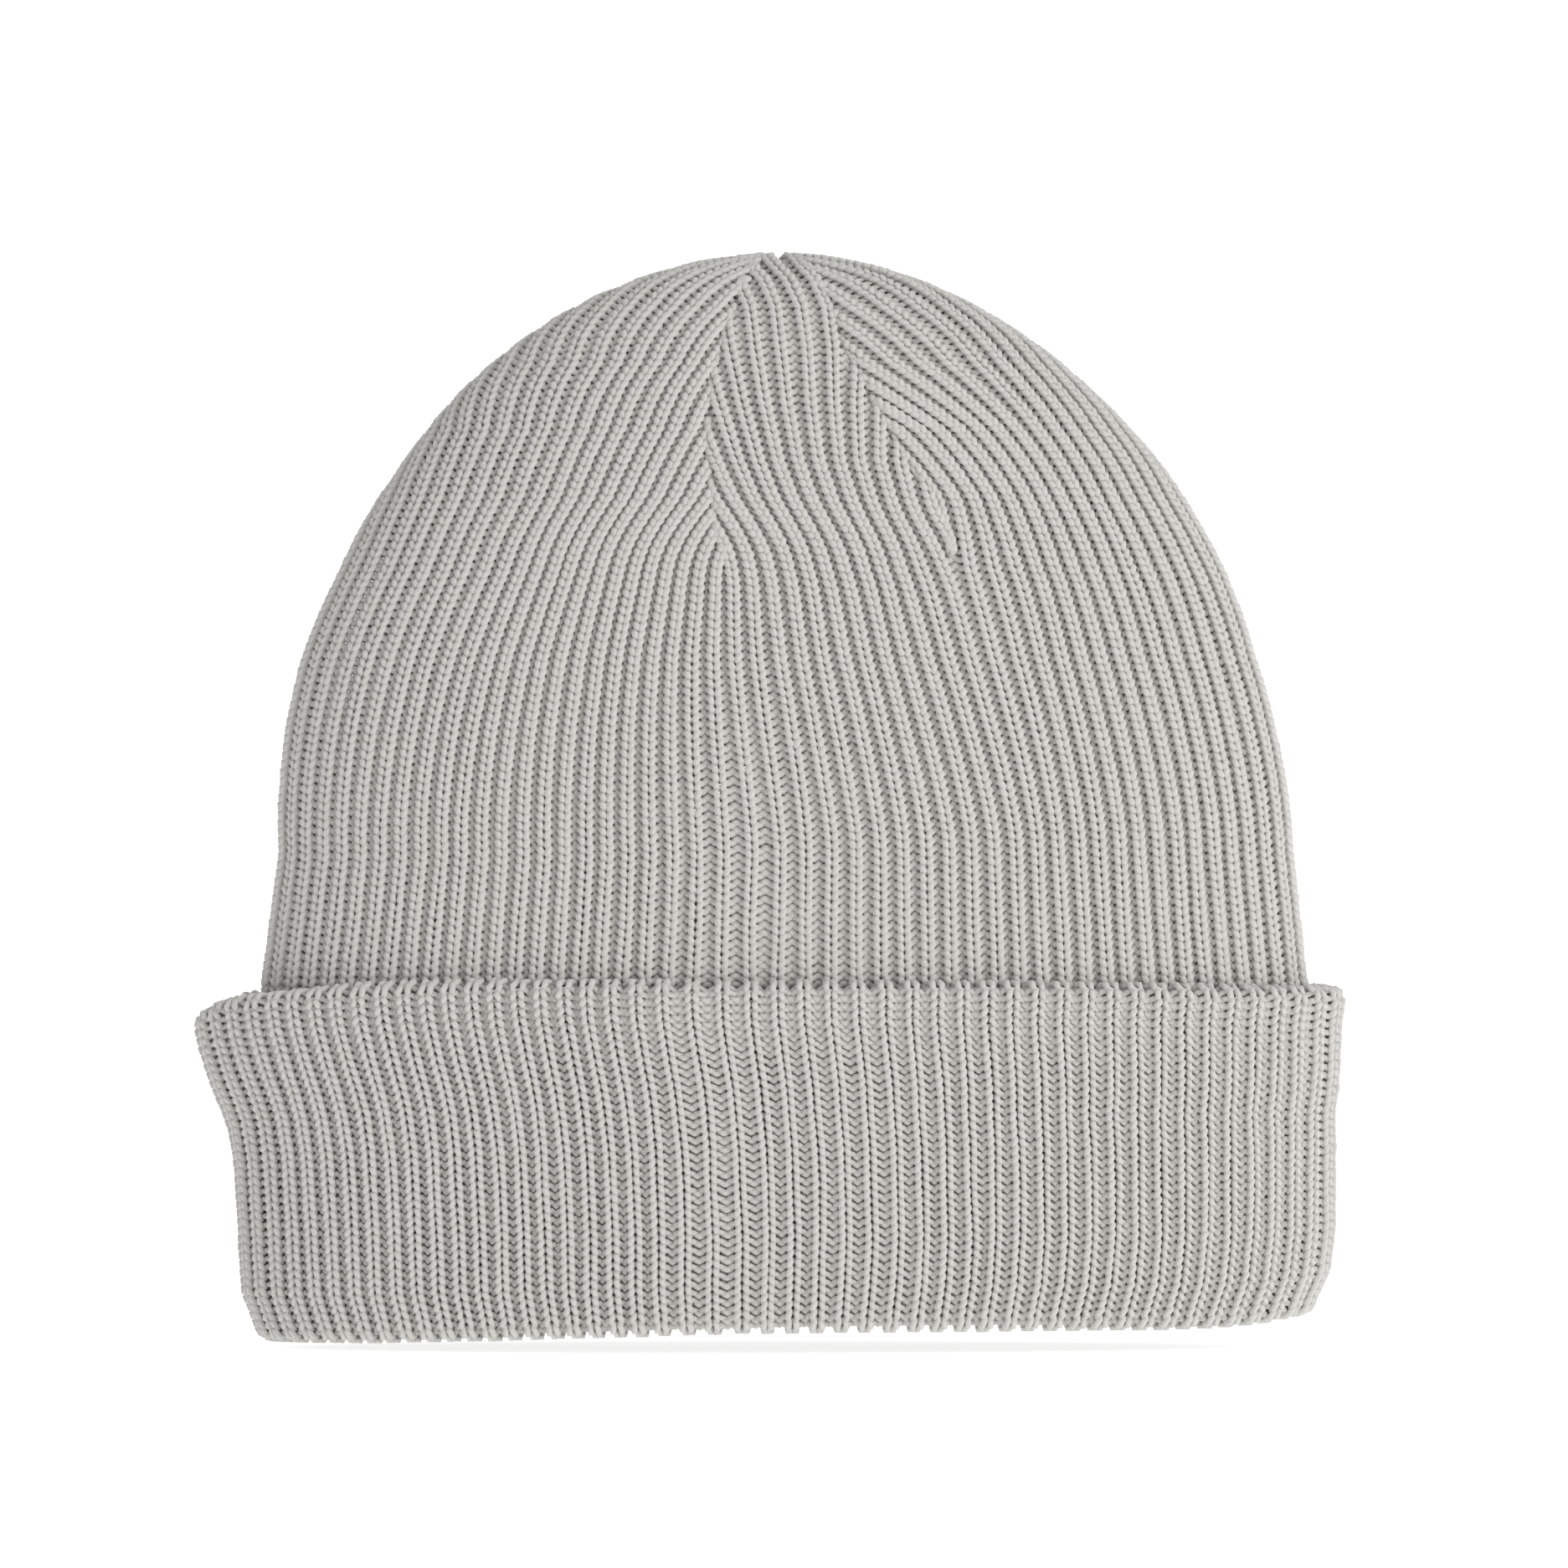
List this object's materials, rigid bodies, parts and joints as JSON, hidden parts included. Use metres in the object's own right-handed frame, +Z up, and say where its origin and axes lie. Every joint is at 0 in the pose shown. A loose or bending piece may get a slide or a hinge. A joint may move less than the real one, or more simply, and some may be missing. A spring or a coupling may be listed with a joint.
{
  "type": "knit beanie",
  "caption": "Ribbed knit beanie with a turned-up cuff, a crown shaped by sewn darts, an open head cavity below and a blank care label on the back seam.",
  "frame": {"origin": "centre of the head opening, on the plane of the bottom fold", "axes": "+Z up through the crown, -Y out of the front face, +X to the wearer's left as seen from the front, along the flat width"},
  "size_m": [0.2248, 0.064, 0.2117],
  "materials": {
    "knit_body": "soft two-ply yarn in one-by-one rib, warm light grey",
    "knit_cuff": "soft two-ply yarn in one-by-one rib, warm light grey",
    "knit_inside": "the same yarn seen from the inside",
    "seam_thread": "sewing yarn, matt",
    "label_cloth": "blank woven satin tape",
    "label_thread": "fine polyester thread"
  },
  "bodies": {
    "hat": {"bottom_fold": "knit_cuff", "inner_band": "knit_inside", "cuff_turn_up": "knit_cuff", "cast_on_edge": "knit_cuff", "body_tube": "knit_body", "crown_left": "knit_body", "crown_right": "knit_body", "crown_front": "knit_body", "crown_back_left": "knit_body", "crown_back_right": "knit_body", "dart_seam_front_left": "seam_thread", "dart_seam_front_right": "seam_thread", "dart_seam_back_left": "seam_thread", "dart_seam_back_right": "seam_thread", "back_seam": "seam_thread", "crown_closing_thread": "seam_thread", "label_stitching": "label_thread"},
    "label": {"care_label": "label_cloth"}
  },
  "joints": [
    {"name": "label_flip", "type": "hinge", "parent": "hat", "child": "label", "pos_m": [-0.012, 0.0224, 0.042], "axis": [0, 0, -1], "range_deg": [0, 170]}
  ]
}
